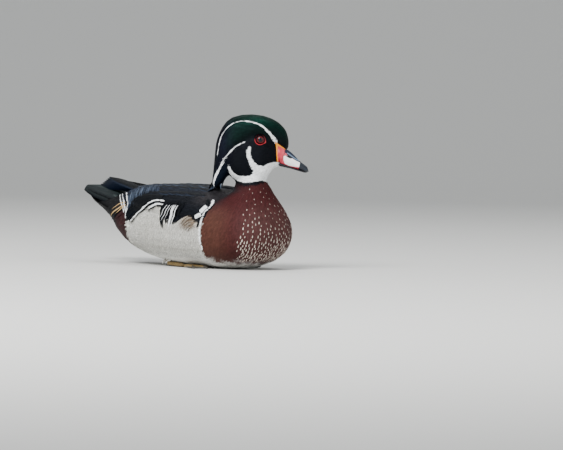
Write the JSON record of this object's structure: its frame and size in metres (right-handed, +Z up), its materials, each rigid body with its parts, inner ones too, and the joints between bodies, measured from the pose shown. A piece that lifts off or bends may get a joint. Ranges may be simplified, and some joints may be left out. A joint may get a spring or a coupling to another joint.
{
  "type": "wood duck",
  "caption": "Life-size still model of a drake wood duck sitting on its belly, head turned to its left, wings folded, feet tucked under.",
  "frame": {"origin": "on the belly's flat, under the middle of the trunk", "axes": "+X towards the breast, +Y to the bird's left, +Z up"},
  "size_m": [0.3366, 0.1324, 0.1973],
  "materials": {
    "hood": "glossy green-black and purple head feathers with white lines",
    "breast": "maroon-chestnut breast feathers with small white specks",
    "body": "buff flanks with fine dark vermiculation, white belly, black back",
    "wing": "black wing feathers with blue and violet gloss",
    "tail": "black tail feathers with a green sheen",
    "bill_upper": "satin horn in red, white, black and yellow",
    "bill_lower": "satin black horn",
    "eye": "wet, dark red",
    "leg": "dull yellow scaly skin with dusky webs"
  },
  "bodies": {
    "root": {"head": "hood", "crest": "hood", "bill_upper": "bill_upper", "bill_lower": "bill_lower", "eye_left": "eye", "eye_right": "eye", "neck": "breast", "trunk": "body", "wing_left": "wing", "wing_right": "wing", "wing_tip_left": "wing", "wing_tip_right": "wing", "tail": "tail", "leg_left": "leg", "leg_right": "leg", "foot_left": "leg", "foot_right": "leg"}
  },
  "joints": []
}
